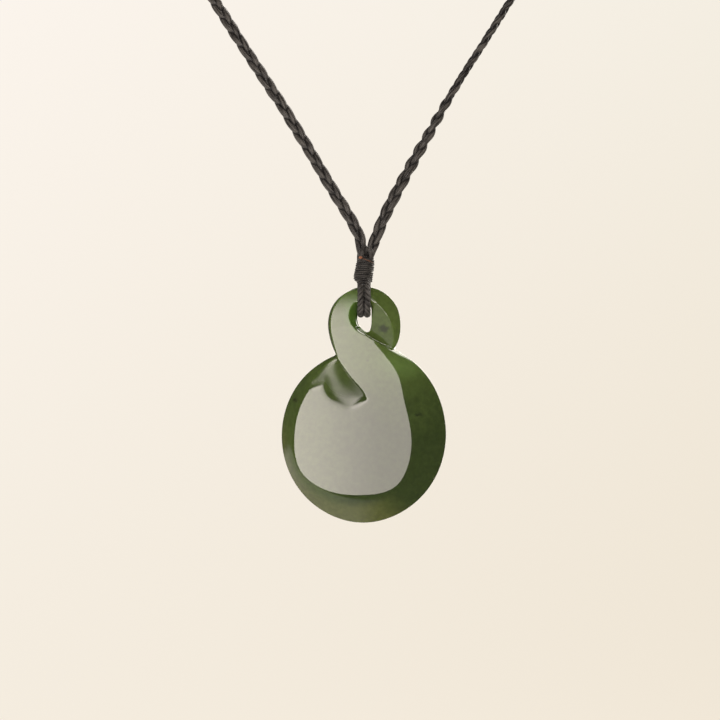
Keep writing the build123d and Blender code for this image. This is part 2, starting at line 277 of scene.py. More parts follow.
class StoneSettings(PropertyGroup):
    """Sizes and colours of the carved stone."""

    cell: FloatProperty(
        name="Polish cell", description="Size of the cells that the stone is polished on",
        default=0.0001, min=0.00008, unit="LENGTH",
    )
    rounds: IntProperty(
        name="Polish rounds", description="How often the polish goes over the stone", default=9, min=0,
    )
    triangles: IntProperty(
        name="Triangles", description="How many triangles the polished stone keeps", default=185000,
        min=1000,
    )
    crown: FloatProperty(
        name="Crown", description="How far the middle of each face swells out of the flat",
        default=0.0003, min=0.0, unit="LENGTH",
    )
    leaf_green: FloatVectorProperty(
        name="Leaf green", description="The stone's main colour", subtype="COLOR",
        default=(0.082, 0.122, 0.030), min=0.0, max=1.0,
    )
    deep_green: FloatVectorProperty(
        name="Deep green", description="The stone's dark bands", subtype="COLOR",
        default=(0.032, 0.050, 0.014), min=0.0, max=1.0,
    )
    # Painted glow of light coming through the thin stone round the eye.
    eye_glow_green: FloatVectorProperty(
        name="Bright green", description="The thin stone round the eye, where light comes through",
        subtype="COLOR", default=(0.085, 0.170, 0.028), min=0.0, max=1.0,
    )
    hollow_haze: FloatProperty(
        name="Hollow haze", description="How much rougher the front's hollow is", default=0.24,
        min=0.0, max=1.0, subtype="FACTOR",
    )
    # Painted glow of light coming through the thin edge at the left.
    edge_glow_olive: FloatVectorProperty(
        name="Thin olive", description="The thin edge at the left, where light comes through",
        subtype="COLOR", default=(0.092, 0.108, 0.034), min=0.0, max=1.0,
    )
    roughness: FloatProperty(
        name="Roughness", description="How much the polish blurs a reflection", default=0.09,
        min=0.0, max=1.0, subtype="FACTOR",
    )


class CordSettings(PropertyGroup):
    """Sizes and colours of the plaited cord and its windings."""

    strand: FloatProperty(
        name="Strand", description="Thickness of one of the three strands", default=0.00137,
        unit="LENGTH",
    )
    width: FloatProperty(
        name="Width", description="Width of the plait over its two edges", default=0.00262,
        unit="LENGTH",
    )
    depth: FloatProperty(
        name="Depth", description="Depth of the plait", default=0.00208, unit="LENGTH",
    )
    pitch: FloatProperty(
        name="Pitch", description="Distance between two crossings on one edge", default=0.0040,
        unit="LENGTH",
    )
    thread: FloatProperty(
        name="Thread", description="Thickness of the winding's thread", default=0.00046,
        unit="LENGTH",
    )
    # The dark fibres, and also the painted shade in the cord's crevices and between its strands.
    black_and_shade: FloatVectorProperty(
        name="Black", description="The cord's dark fibres", subtype="COLOR",
        default=(0.007, 0.006, 0.006), min=0.0, max=1.0,
    )
    charcoal: FloatVectorProperty(
        name="Charcoal", description="The cord's worn and waxed fibres", subtype="COLOR",
        default=(0.088, 0.081, 0.074), min=0.0, max=1.0,
    )


class StageSettings(PropertyGroup):
    """The camera's place and the lights."""

    distance: FloatProperty(
        name="Camera distance", description="From the lens to the stone", default=0.75,
        unit="LENGTH",
    )
    view_width: FloatProperty(
        name="Width in view", description="Width of the picture at the stone", default=0.1584,
        unit="LENGTH",
    )
    softbox: FloatProperty(
        name="Softbox", description="Brightness of the softbox behind the camera", default=5.9,
    )


def settings():
    """The three groups of settings."""
    scene = bpy.context.scene
    return scene.greenstone_stone, scene.greenstone_cord, scene.greenstone_stage


def between(rows, place, column=1):
    """The value of a table's column at a place, on straight lines between its rows."""
    if place <= rows[0][0]:
        return rows[0][column]
    for low, high in zip(rows, rows[1:]):
        if place <= high[0]:
            share = (place - low[0]) / (high[0] - low[0])
            return low[column] + (high[column] - low[column]) * share
    return rows[-1][column]


def add_object(name, data):
    """A new object in the scene."""
    made = bpy.data.objects.new(name, data)
    bpy.context.scene.collection.objects.link(made)
    return made


def add_piece(name, mesh, material, body, slot, *nodes):
    """A finished piece that rides on a body and stands for CAD nodes."""
    mesh.name = name
    mesh.materials.clear()
    mesh.materials.append(material)
    piece = add_object(name, mesh)
    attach(piece, body)
    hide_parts(*nodes)


def mesh_with(holder):
    """An object's mesh with its modifiers in it. The object is removed."""
    bpy.context.view_layer.update()
    evaluated = holder.evaluated_get(bpy.context.evaluated_depsgraph_get())
    mesh = bpy.data.meshes.new_from_object(evaluated)
    bpy.data.objects.remove(holder)
    return mesh


def mesh_of(curve):
    """A curve as a mesh."""
    return mesh_with(add_object("holder", curve))


def smooth_line(places, step):
    """Even points on the smooth line whose control points are the given places."""
    curve = bpy.data.curves.new("route", "CURVE")
    curve.dimensions = "3D"
    curve.resolution_u = 32
    spline = curve.splines.new("NURBS")
    spline.points.add(len(places) - 1)
    for point, place in zip(spline.points, places):
        point.co = (*place, 1.0)
    spline.order_u = 3
    spline.use_endpoint_u = True
    mesh = mesh_of(curve)
    line = [vertex.co.copy() for vertex in mesh.vertices]
    bpy.data.meshes.remove(mesh)
    bpy.data.curves.remove(curve)
    reach = [0.0]
    for start, end in zip(line, line[1:]):
        reach.append(reach[-1] + (end - start).length)
    count = round(reach[-1] / step)
    even = []
    row = 0
    for index in range(count + 1):
        goal = reach[-1] * index / count
        while row < len(line) - 2 and reach[row + 1] < goal:
            row += 1
        share = (goal - reach[row]) / (reach[row + 1] - reach[row])
        even.append(line[row].lerp(line[row + 1], min(share, 1.0)))
    return even, reach[-1] / count


def carried_frames(line, face):
    """At each point of a line, the direction to its face and to its side, carried along it."""
    frames = []
    for index in range(len(line)):
        before = line[max(index - 1, 0)]
        after = line[min(index + 1, len(line) - 1)]
        along = (after - before).normalized()
        face = (face - along * face.dot(along)).normalized()
        frames.append((face, along.cross(face)))
    return frames


def twisted_strands(line, step, face, size):
    """Three strands twisted round each other along a line, as places and thickness shares."""
    radius = (size["width"] - size["strand"]) / 2
    strands = []
    for strand in range(3):
        places = []
        shares = []
        for index, (point, (front, side)) in enumerate(zip(line, carried_frames(line, Vector(face)))):
            reach = index * step
            wander = noise.noise(Vector((reach * 500, strand * 7.3, size["seed"])))
            angle = tau * (reach / (3 * size["pitch"]) + strand / 3) + size["start"]
            spread = radius * (1 + 0.10 * wander)
            places.append(point + side * cos(angle) * spread + front * sin(angle) * spread)
            shares.append(1 + 0.06 * wander)
        strands.append((places, shares))
    return strands


def plait_strands(line, step, face, turns, size, gather):
    """The three strands of a plait along a line, as lists of places and of thickness shares.

    A strand goes from edge to edge and over and under its neighbours, so that it draws a figure
    of eight as seen along the cord.
    """
    to_edge = (size["width"] - size["strand"]) / 2
    to_face = (size["depth"] - size["strand"]) / 2
    frames = carried_frames(line, Vector(face))
    strands = []
    for strand in range(3):
        places = []
        shares = []
        for index, (point, (front, side)) in enumerate(zip(line, frames)):
            reach = index * step
            phase = tau * (reach / (3 * size["pitch"]) + strand / 3) + size["start"]
            wander = noise.noise(Vector((reach * 260, strand * 7.3, size["seed"])))
            turn = radians(between(turns, reach)) + 0.10 * noise.noise(
                Vector((reach * 90, 3.1, size["seed"]))
            )
            tight = between(gather, reach)
            across = to_edge * tight * tanh(1.5 * sin(phase)) / tanh(1.5) * (1 + 0.10 * wander)
            out = to_face * tight * sin(2 * phase)
            turned_side = side * cos(turn) + front * sin(turn)
            turned_front = front * cos(turn) - side * sin(turn)
            places.append(point + turned_side * across + turned_front * out)
            shares.append(tight * (1 + 0.05 * wander - 0.06 * cos(2 * phase)))
        strands.append((places, shares))
    return strands


def mark_bare(mesh, strands, radius):
    """Writes how far each vertex of a plait is from the strands beside it, in strand radii."""
    trees = []
    for places, _ in strands:
        tree = kdtree.KDTree(len(places))
        for index, place in enumerate(places):
            tree.insert(place, index)
        tree.balance()
        trees.append(tree)
    bare = mesh.attributes.new("bare", "FLOAT", "POINT")
    for vertex, value in zip(mesh.vertices, bare.data):
        gaps = sorted(tree.find(vertex.co)[2] for tree in trees)
        value.value = gaps[1] / radius


def rope_mesh(strands, thickness, sides):
    """Strands as one mesh of round tubes."""
    curve = bpy.data.curves.new("strands", "CURVE")
    curve.dimensions = "3D"
    curve.bevel_depth = thickness / 2
    curve.bevel_resolution = sides
    curve.use_fill_caps = True
    for places, shares in strands:
        spline = curve.splines.new("POLY")
        spline.points.add(len(places) - 1)
        for point, place, share in zip(spline.points, places, shares):
            point.co = (*place, 1.0)
            point.radius = share
        spline.use_smooth = True
    mesh = mesh_of(curve)
    bpy.data.curves.remove(curve)
    return mesh


def plait_size(cord, seed, start):
    """The sizes of the neck cord's plait, its noise's seed and where its crossings start."""
    return {
        "width": cord.width, "depth": cord.depth, "strand": cord.strand, "pitch": cord.pitch,
        "seed": seed, "start": start,
    }


class Shades:
    """The node tree of a material or a world, with short ways to add a node and join it."""

    def __init__(self, owner):
        owner.use_nodes = True
        self.owner = owner
        self.tree = owner.node_tree
        self.shader = self.tree.nodes.get("Principled BSDF")

    def add(self, kind, inputs=(), **values):
        """A node, with its inputs joined to sockets or set to values."""
        made = self.tree.nodes.new(kind)
        for name, value in values.items():
            setattr(made, name, value)
        for key, value in dict(inputs).items():
            self.put(made.inputs[key], value)
        return made

    def put(self, socket, value):
        """Joins a socket to another, or sets its value."""
        if isinstance(value, bpy.types.NodeSocket):
            self.tree.links.new(value, socket)
        else:
            socket.default_value = value

    def surface(self, inputs):
        """Joins or sets the shader's sockets, by name."""
        for name, value in inputs.items():
            self.put(self.shader.inputs[name], value)

    def sum(self, kind, *values):
        """What a sum of this kind makes of two or three numbers."""
        return self.add("ShaderNodeMath", enumerate(values), operation=kind).outputs[0]

    def vector(self, kind, *values):
        """What a sum of this kind makes of one to three vectors: a vector, or a number."""
        made = self.add("ShaderNodeVectorMath", enumerate(values), operation=kind)
        return made.outputs["Value" if kind in ("LENGTH", "DOT_PRODUCT") else "Vector"]

    def distance(self, offset, half):
        """How far an offset reaches, where 1 is the surface of an oval of these half sizes."""
        return self.vector("LENGTH", self.vector("DIVIDE", offset, half))

    def blend(self, share, low, high, kind="MIX"):
        """A colour between two others."""
        made = self.add("ShaderNodeMix", data_type="RGBA", blend_type=kind)
        self.put(made.inputs["Factor"], share)
        self.put(made.inputs[6], low)
        self.put(made.inputs[7], high)
        return made.outputs[2]

    def ease(self, value, low, high, to_low=0.0, to_high=1.0):
        """A smooth step of a value from low to high."""
        return self.add(
            "ShaderNodeMapRange", {0: value, 1: low, 2: high, 3: to_low, 4: to_high},
            interpolation_type="SMOOTHSTEP",
        ).outputs[0]

    def cloud(self, place, scale, detail=3.0, roughness=0.5, distortion=0.0):
        """A noise pattern."""
        return self.add("ShaderNodeTexNoise", {
            "Vector": place, "Scale": scale, "Detail": detail, "Roughness": roughness,
            "Distortion": distortion,
        }).outputs[0]


def solid(colour):
    """A colour as the four numbers of a socket."""
    return (*colour[:3], 1.0)


def jade(stone):
    """Polished jade: green clouds, specks, inclusions, and painted glow round the eye and at the olive
    edge.
    """
    shades = Shades(bpy.data.materials.new("greenstone"))
    place = shades.add("ShaderNodeTexCoord").outputs["Object"]
    local = shades.add("ShaderNodeMapping", {
        "Vector": place, "Location": tuple(-DISC_MIDDLE / MM), "Scale": (1 / MM, 1 / MM, 1 / MM),
    }).outputs[0]
    across, back, up = shades.add("ShaderNodeSeparateXYZ", {0: local}).outputs
    drift = shades.sum("MULTIPLY_ADD", shades.cloud(local, 0.13, 2.0, 0.5, 0.6), 14.0, -7.0)
    rise = shades.ease(shades.sum("ADD", up, drift), 1.0, 21.0)
    left = shades.ease(shades.sum("ADD", across, drift), 2.0, -15.0, 0.0, 0.55)
    leafy = shades.sum("MAXIMUM", rise, left)
    body = shades.blend(leafy, solid(stone.deep_green), solid(stone.leaf_green))
    # Painted glow: light coming through the thin stone round the eye.
    eye_gap = shades.distance(shades.vector("SUBTRACT", local, EYE_MIDDLE), EYE_HALF)
    body = shades.blend(shades.ease(eye_gap, 1.1, 0.5), body, solid(stone.eye_glow_green))
    # Painted glow: light coming through the thin edge at the lower left, in olive.
    flat = shades.vector("MULTIPLY", local, (1.0, 0.0, 1.0))
    out = shades.sum("MULTIPLY_ADD", across, 0.17, shades.vector("LENGTH", flat))
    lean = shades.vector("DOT_PRODUCT", local, (-0.6, 0.0, -0.8))
    thin = shades.sum("MULTIPLY", shades.ease(out, 12.8, 15.2), shades.ease(lean, 4.0, 12.0))
    body = shades.blend(thin, body, solid(stone.edge_glow_olive))
    grain = shades.ease(shades.cloud(local, 0.9, 4.0, 0.6), 0.30, 0.75, 0.86, 1.12)
    grain_colour = shades.add("ShaderNodeCombineColor", {0: grain, 1: grain, 2: grain}).outputs[0]
    body = shades.blend(1.0, body, grain_colour, "MULTIPLY")
    ragged = shades.add("ShaderNodeTexNoise", {"Vector": local, "Scale": 1.1, "Detail": 3.0})
    ragged = shades.vector("SUBTRACT", ragged.outputs[1], (0.5, 0.5, 0.5))
    rough_place = shades.vector("MULTIPLY_ADD", ragged, (1.6, 1.6, 1.6), local)
    for middle, half, strength, colour in INCLUSIONS:
        gap = shades.distance(shades.vector("SUBTRACT", rough_place, middle), half)
        body = shades.blend(shades.ease(gap, 1.25, 0.35, 0.0, strength), body, solid(colour))
    hollow = shades.distance(shades.vector("SUBTRACT", local, HAZE_MIDDLE), HAZE_HALF)
    haze = shades.ease(hollow, 1.1, 0.8, 0.0, stone.hollow_haze)
    polish = shades.ease(
        shades.cloud(local, 0.35, 3.0), 0.3, 0.8, stone.roughness * 0.8, stone.roughness * 1.3
    )
    ripple = shades.add("ShaderNodeBump", {
        "Height": shades.cloud(local, 1.6, 3.0, 0.55), "Strength": 0.05, "Distance": 0.00006,
    }).outputs[0]
    shades.surface({
        "Base Color": body,
        "Roughness": shades.sum("MULTIPLY_ADD", haze, shades.ease(back, -3.45, -3.05), polish),
        "IOR": 1.61,
        "Subsurface Weight": 0.35,
        "Subsurface Radius": (0.8, 1.0, 0.45),
        "Subsurface Scale": 0.0016,
        "Normal": ripple,
    })
    return shades.owner


def brown_thread(shades, body, offset):
    """A fibre's colour with a brown spot and a thin brown thread in it, by the offset from the spot."""
    spot = shades.distance(offset, BROWN_SPOT_HALF)
    body = shades.blend(shades.ease(spot, 1.1, 0.6), body, solid(BROWN_SPOT_COLOUR))
    tilted = shades.add("ShaderNodeMapping", {
        "Vector": offset, "Location": BROWN_THREAD_SHIFT, "Rotation": (0.0, BROWN_THREAD_TILT, 0.0),
    }).outputs[0]
    thread = shades.distance(tilted, BROWN_THREAD_HALF)
    return shades.blend(shades.ease(thread, 1.1, 0.7), body, solid(BROWN_THREAD_COLOUR))


def waxed_fibre(name, cord, length, turns_round, brown=None, plaited=False):
    """Waxed fibre that runs along its strand: dark, with worn light streaks and pale specks.

    Brown is the place of a brown spot on it. Painted shade darkens the fibre in its crevices and, on a
    plait, where another strand lies beside it, so that only the open fibre shows its worn streaks.
    """
    shades = Shades(bpy.data.materials.new(name))
    along = shades.add("ShaderNodeUVMap").outputs[0]
    run = shades.add("ShaderNodeMapping", {
        "Vector": along, "Scale": (length * 130.0, turns_round, 1.0),
    }).outputs[0]
    place = shades.add("ShaderNodeTexCoord").outputs["Object"]
    streak = shades.cloud(run, 2.0, 3.0, 0.60, 0.3)
    patch = shades.cloud(place, 330.0, 2.0)
    share = shades.sum("MULTIPLY_ADD", streak, 0.75, shades.sum("MULTIPLY", patch, 0.25))
    # Painted shade: ambient occlusion darkens the fibre in its crevices.
    crevice_shade = shades.add(
        "ShaderNodeAmbientOcclusion", {"Distance": cord.thread * 1.6}, samples=8
    ).outputs["AO"]
    wear_and_shade = shades.sum(
        "MULTIPLY", shades.ease(share, 0.36, 0.62), shades.ease(crevice_shade, 0.35, 0.95)
    )
    # On a plait, painted shade darkens the fibre where another strand lies beside it. The windings get
    # a plain darker tone.
    tone_and_beside_shade = 0.6
    if plaited:
        beside = shades.add("ShaderNodeAttribute", attribute_name="bare").outputs["Fac"]
        tone_and_beside_shade = shades.ease(beside, 1.05, 1.55)
    wear_and_shade = shades.sum("MULTIPLY", wear_and_shade, tone_and_beside_shade)
    # Black for the unworn fibre and for the painted shade, charcoal for the worn and open fibre.
    body = shades.blend(wear_and_shade, solid(cord.black_and_shade), solid(cord.charcoal))
    speck = shades.ease(shades.cloud(place, 5200.0, 1.0), 0.79, 0.85, 0.0, 0.4)
    body = shades.blend(speck, body, solid(SPECK_COLOUR))
    if brown is not None:
        body = brown_thread(shades, body, shades.vector("SUBTRACT", place, tuple(brown)))
    bump = shades.add("ShaderNodeBump", {
        "Height": streak, "Strength": 0.6, "Distance": 0.00008,
    }).outputs[0]
    shades.surface({
        "Base Color": body,
        "Roughness": shades.ease(streak, 0.3, 0.7, 0.42, 0.62),
        "Sheen Weight": 0.15,
        "Sheen Roughness": 0.4,
        "Normal": bump,
    })
    return shades.owner


def soften_hollow(mesh):
    """Evens the floor of the front's hollow and step, up to the strand over it, and fades its tip."""
    soft = bmesh.new()
    soft.from_mesh(mesh)
    inside = []
    for vertex in soft.verts:
        place = (vertex.co - DISC_MIDDLE) / MM
        side = (place.x - HOLLOW_MIDDLE[0]) / HOLLOW_HALF[0]
        height = (place.z - HOLLOW_MIDDLE[1]) / HOLLOW_HALF[1]
        wall = vertex.normal.y > WALL_FACING and place.z > WALL_FOOT
        if place.y > FRONT_LINE or side ** 2 + height ** 2 > 1 or wall:
            continue
        if place.x < between(HOLLOW_SIDE, place.z):
            inside.append(vertex)
    for _ in range(HOLLOW_ROUNDS):
        bmesh.ops.smooth_vert(
            soft, verts=inside, factor=0.5, use_axis_x=True, use_axis_y=True, use_axis_z=True
        )
    for vertex in soft.verts:
        place = (vertex.co - DISC_MIDDLE) / MM
        flat = Vector((place.x, place.z)) - HOLLOW_TIP
        along = flat.dot(HOLLOW_RUN)
        near_tip = along < HOLLOW_FADE[-1][0] and flat.length < HOLLOW_TIP_REACH
        if place.y < FRONT_LINE and near_tip:
            depth = vertex.co.y - DISC_MIDDLE.y + HALF_THICKNESS
            vertex.co.y = DISC_MIDDLE.y - HALF_THICKNESS + depth * between(HOLLOW_FADE, along)
    soft.to_mesh(mesh)
    soft.free()


def make_stone(stone):
    """The carved stone, polished on fine cells so that its edges are soft and its faces even."""
    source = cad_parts["greenstone_twist"].data.copy()
    whole = bmesh.new()
    whole.from_mesh(source)
    bmesh.ops.remove_doubles(whole, verts=whole.verts, dist=SAME_POINT)
    bmesh.ops.recalc_face_normals(whole, faces=whole.faces)
    whole.to_mesh(source)
    whole.free()
    holder = add_object("carved_stone", source)
    cells = holder.modifiers.new("cells", "REMESH")
    cells.mode = "VOXEL"
    cells.voxel_size = stone.cell
    cells.use_smooth_shade = True
    polish = holder.modifiers.new("polish", "SMOOTH")
    polish.factor = 0.5
    polish.iterations = stone.rounds
    mesh = mesh_with(holder)
    soften_hollow(mesh)
    for vertex in mesh.vertices:
        flat = Vector((vertex.co.x - DISC_MIDDLE.x, vertex.co.z - DISC_MIDDLE.z))
        crown = stone.crown * max(1 - flat.length_squared / CROWN_REACH ** 2, -1.0)
        vertex.co.y = DISC_MIDDLE.y + (vertex.co.y - DISC_MIDDLE.y) * (1 + crown / HALF_THICKNESS)
    holder = add_object("polished_stone", mesh)
    fewer = holder.modifiers.new("fewer", "DECIMATE")
    fewer.ratio = min(stone.triangles / (2 * len(mesh.polygons)), 1.0)
    mesh = mesh_with(holder)
    mesh.shade_smooth()
    add_piece("carved_stone", mesh, jade(stone), "stone", "greenstone", "greenstone_twist")


def make_neck_cords(cord):
    """The two halves of the plaited neck cord, from inside the whipping to inside the nape's."""
    for side, route, turns, gather, seed, start in (
        ("left", LEFT_ROUTE, LEFT_TURNS, LEFT_GATHER, 2.0, 0.6),
        ("right", RIGHT_ROUTE, RIGHT_TURNS, RIGHT_GATHER, 9.0, 2.1),
    ):
        places = [WHIPPING_TOP + Vector(place) for place in route]
        line, step = smooth_line(places, PLAIT_STEP)
        size = plait_size(cord, seed, start)
        strands = plait_strands(line, step, (0, -1, 0), turns, size, gather)
        mesh = rope_mesh(strands, cord.strand, 3)
        mark_bare(mesh, strands, cord.strand / 2)
        material = waxed_fibre(f"waxed_cord_{side}", cord, step * len(line), 6.0, plaited=True)
        add_piece(f"plait_{side}", mesh, material, "cord", "waxed_cord", f"neck_cord_{side}")


def make_eye_loops(cord):
    """The doubled cord through the eye: two twisted bundles, side by side and mirrored."""
    for side, sign in (("left", -1), ("right", 1)):
        node_low, node_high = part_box(f"eye_loop_{side}")
        x = (node_low.x + node_high.x) / 2 + LOOP_SHIFT
        places = [WHIPPING_FOOT + Vector((x, back, up)) for back, up in LOOP_ROUTE]
        line, step = smooth_line(places, FINE_STEP)
        size = {
            "width": LOOP_WIDTH, "strand": LOOP_STRAND, "pitch": LOOP_PITCH * sign,
            "seed": 4.0 + sign, "start": LOOP_START + (pi if sign > 0 else 0.0),
        }
        strands = twisted_strands(line, step, (0, 0, -1), size)
        mesh = rope_mesh(strands, LOOP_STRAND, 4)
        mark_bare(mesh, strands, LOOP_STRAND / 2)
        material = waxed_fibre(f"waxed_loop_{side}", cord, step * len(line), 5.0, plaited=True)
        add_piece(f"loop_{side}", mesh, material, "cord", "waxed_cord", f"eye_loop_{side}")


def side_of(axis):
    """A direction square to an upright or a level axis."""
    return Vector((1, 0, 0)) if abs(axis.normalized().z) > 0.5 else Vector((0, 0, 1))


def winding(axis_start, axis_end, shape, thread, seed):
    """A thread wound round an axis, in turns that wander a little."""
    axis = axis_end - axis_start
    up = axis.normalized()
    side = side_of(axis)
    back = up.cross(side)
    turns = round(axis.length / (thread * 1.08))
    per_turn = 40
    places = []
    shares = []
    for index in range(turns * per_turn + 1):
        share = index / (turns * per_turn)
        angle = tau * index / per_turn
        radius = between(shape, share) - thread / 2
        offset = between(shape, share, 2)
        wander = noise.noise(Vector((share * turns * 0.9, cos(angle), seed + sin(angle))))
        lift = noise.noise(Vector((share * turns * 0.55, 5.0, seed)))
        height = thread / 2 + share * (axis.length - thread) + thread * 0.28 * wander
        height = min(max(height, thread / 2), axis.length - thread / 2)
        radius += thread * 0.16 * lift
        around = side * (cos(angle) * radius + offset) + back * (sin(angle) * radius)
        places.append(axis_start + up * height + around)
        shares.append(1.0 + 0.10 * wander)
    return places, shares


def barrel(axis_start, axis_end, shape, inset):
    """A closed barrel round an axis, under a winding."""
    axis = axis_end - axis_start
    side = side_of(axis)
    steps = 16
    places = []
    shares = []
    for index in range(steps + 1):
        share = index / steps
        places.append(axis_start + axis * share + side * between(shape, share, 2))
        shares.append((between(shape, share) - inset) / BARREL_RADIUS)
    return places, shares


def wound_mesh(core, rows, thread):
    """A barrel and the threads over it, as one mesh."""
    inner = rope_mesh([core], 2 * BARREL_RADIUS, 8)
    turns = rope_mesh(rows, thread, 3)
    joined = bmesh.new()
    joined.from_mesh(inner)
    joined.from_mesh(turns)
    joined.to_mesh(turns)
    joined.free()
    return turns


def make_cord_whipping(cord):
    """The whipping of fine waxed thread above the stone, with the cord's two tucked ends."""
    foot = WHIPPING_FOOT - Vector((0, 0, BELOW_FOOT))
    top = WHIPPING_TOP - Vector((0, 0, BELOW_TOP))
    rows = [winding(foot, top, WHIPPING_SHAPE, cord.thread, 3.0)]
    for places, shares in WHIPPING_ENDS:
        line, _ = smooth_line([WHIPPING_TOP + Vector(place) for place in places], FINE_STEP)
        count = len(line) - 1
        rows.append((line, [between(shares, index / count) for index in range(count + 1)]))
    core = barrel(foot, top, WHIPPING_SHAPE, cord.thread)
    mesh = wound_mesh(core, rows, cord.thread)
    material = waxed_fibre("waxed_thread", cord, STREAK_RUN, 3.0, brown=WHIPPING_TOP + BROWN_SPOT)
    add_piece("whipping", mesh, material, "cord", "waxed_thread", "cord_whipping")


def make_nape_whipping(cord):
    """The plain wound join at the nape."""
    low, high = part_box("nape_whipping")
    radius = (high.z - low.z) / 2
    start = Vector((low.x, 0.0, 0.0))
    end = Vector((high.x, 0.0, 0.0))
    shape = [(share, radius * width, 0.0) for share, width in NAPE_SHAPE]
    thread = cord.thread * NAPE_THREAD
    core = barrel(start, end, shape, thread * 0.7)
    mesh = wound_mesh(core, [winding(start, end, shape, thread, 8.0)], thread)
    material = waxed_fibre("nape_thread", cord, 2 * STREAK_RUN, 3.0)
    add_piece("nape_winding", mesh, material, "cord", "waxed_thread", "nape_whipping")


def add_camera(stage):
    """The camera, level with the middle of the picture."""
    data = bpy.data.cameras.new("camera")
    data.sensor_width = FILM_WIDTH
    data.lens = FILM_WIDTH * stage.distance / stage.view_width
    data.clip_start = 0.01
    data.clip_end = 20.0
    camera = add_object("camera", data)
    camera.location = (VIEW_SIDE, DISC_MIDDLE.y - stage.distance, VIEW_UP)
    camera.rotation_euler = (pi / 2, 0.0, 0.0)
    bpy.context.scene.camera = camera


def add_softbox(name, place, facing, brightness):
    """A soft panel of light that the camera doesn't see.

    It grows brighter along its own X, and fades out at its low X edge and its upper edge.
    """
    grid = bmesh.new()
    bmesh.ops.create_grid(grid, x_segments=1, y_segments=1, size=0.5)
    mesh = bpy.data.meshes.new(name)
    grid.to_mesh(mesh)
    grid.free()
    shades = Shades(bpy.data.materials.new(name))
    shades.tree.nodes.remove(shades.shader)
    across, up, _ = shades.add("ShaderNodeSeparateXYZ", {
        0: shades.add("ShaderNodeTexCoord").outputs["Object"],
    }).outputs
    growth = shades.add("ShaderNodeMapRange", {
        0: across, 1: -0.0714, 2: 0.196, 3: brightness * 0.86, 4: brightness * 1.42,
    }).outputs[0]
    edge = shades.sum("MULTIPLY", growth, shades.ease(across, -0.5, -0.16))
    light = shades.add("ShaderNodeEmission", {
        "Color": solid(SOFTBOX_COLOUR),
        "Strength": shades.sum("MULTIPLY", edge, shades.ease(up, 0.5, 0.08)),
    })
    shades.put(shades.tree.nodes["Material Output"].inputs["Surface"], light.outputs[0])
    mesh.materials.append(shades.owner)
    panel = add_object(name, mesh)
    panel.location = place
    panel.rotation_euler = facing.to_track_quat("Z", "Y").to_euler()
    panel.scale = (*SOFTBOX_SIZE, 1.0)
    panel.visible_camera = False


def backdrop_cream():
    """Pale cream paper that glows, with painted light making it a little lighter at its upper left."""
    shades = Shades(bpy.data.materials.new("backdrop_cream"))
    place = shades.add("ShaderNodeTexCoord").outputs["Object"]
    across, _, up = shades.add("ShaderNodeSeparateXYZ", {0: place}).outputs
    # Painted light: the glowing paper grows lighter upwards and towards the left.
    rise = shades.add("ShaderNodeMapRange", {0: up, 1: -0.60, 2: 0.22}).outputs[0]
    left = shades.add("ShaderNodeMapRange", {0: across, 1: 0.41, 2: -0.41}).outputs[0]
    low, high = [
        shades.blend(left, solid(at_right), solid(at_left))
        for at_right, at_left in (CREAM_LOW, CREAM_HIGH)
    ]
    shades.surface({
        "Base Color": (0.02, 0.02, 0.02, 1.0),
        "Emission Color": shades.blend(rise, low, high),
        "Emission Strength": 1.0,
        "Roughness": 0.9,
        "Specular IOR Level": 0.0,
    })
    return shades.owner


def add_backdrop():
    """A round floor that rises into a wall on every side."""
    bowl = bmesh.new()
    profile = [bowl.verts.new((reach, 0.0, height)) for reach, height in BACKDROP_PROFILE]
    for start, end in zip(profile, profile[1:]):
        bowl.edges.new((start, end))
    bmesh.ops.spin(
        bowl, geom=bowl.verts[:] + bowl.edges[:], cent=(0, 0, 0), axis=(0, 0, 1), angle=tau,
        steps=64, use_merge=True,
    )
    bmesh.ops.remove_doubles(bowl, verts=bowl.verts, dist=0.0001)
    bmesh.ops.recalc_face_normals(bowl, faces=bowl.faces)
    bmesh.ops.reverse_faces(bowl, faces=bowl.faces)
    mesh = bpy.data.meshes.new("backdrop")
    bowl.to_mesh(mesh)
    bowl.free()
    mesh.shade_smooth()
    mesh.materials.append(backdrop_cream())
    backdrop = add_object("backdrop", mesh)
    smooth = backdrop.modifiers.new("smooth", "SUBSURF")
    smooth.levels = 2
    smooth.render_levels = 2
    backdrop.visible_glossy = False


def studio_world():
    """What the polish mirrors: paper low at the left, a dim room, and a wall and a lamp behind.

    The wall stands at the right, and the lamp is high at the right.
    """
    world = bpy.data.worlds.new("studio")
    shades = Shades(world)
    place = shades.add("ShaderNodeTexCoord").outputs["Generated"]
    to_right, to_back, up = shades.add("ShaderNodeSeparateXYZ", {0: place}).outputs
    wall = shades.sum(
        "MULTIPLY", shades.ease(to_back, 0.45, 0.90, 0.0, 0.35), shades.ease(to_right, -0.30, 0.10)
    )
    slanted = shades.sum("MULTIPLY_ADD", to_right, 0.45, up)
    paper = shades.sum(
        "MULTIPLY", shades.ease(slanted, -0.48, -0.60, 0.0, 0.95), shades.ease(to_right, 0.30, -0.15)
    )
    left = shades.ease(to_right, -0.30, -0.90, 0.0, 0.08)
    room = shades.ease(up, 2.0, -2.0, 0.0, 0.12)
    toward_lamp = shades.vector("DOT_PRODUCT", place, LAMP_DIRECTION)
    light = shades.sum(
        "MULTIPLY", shades.ease(toward_lamp, 0.50, 0.70, 0.0, 6.0), shades.ease(to_back, 0.28, 0.50)
    )
    for other in (wall, paper, left, room):
        light = shades.sum("MAXIMUM", light, other)
    sky = shades.tree.nodes["Background"]
    sky.inputs["Color"].default_value = (1.0, 0.94, 0.86, 1.0)
    shades.put(sky.inputs["Strength"], light)
    return world


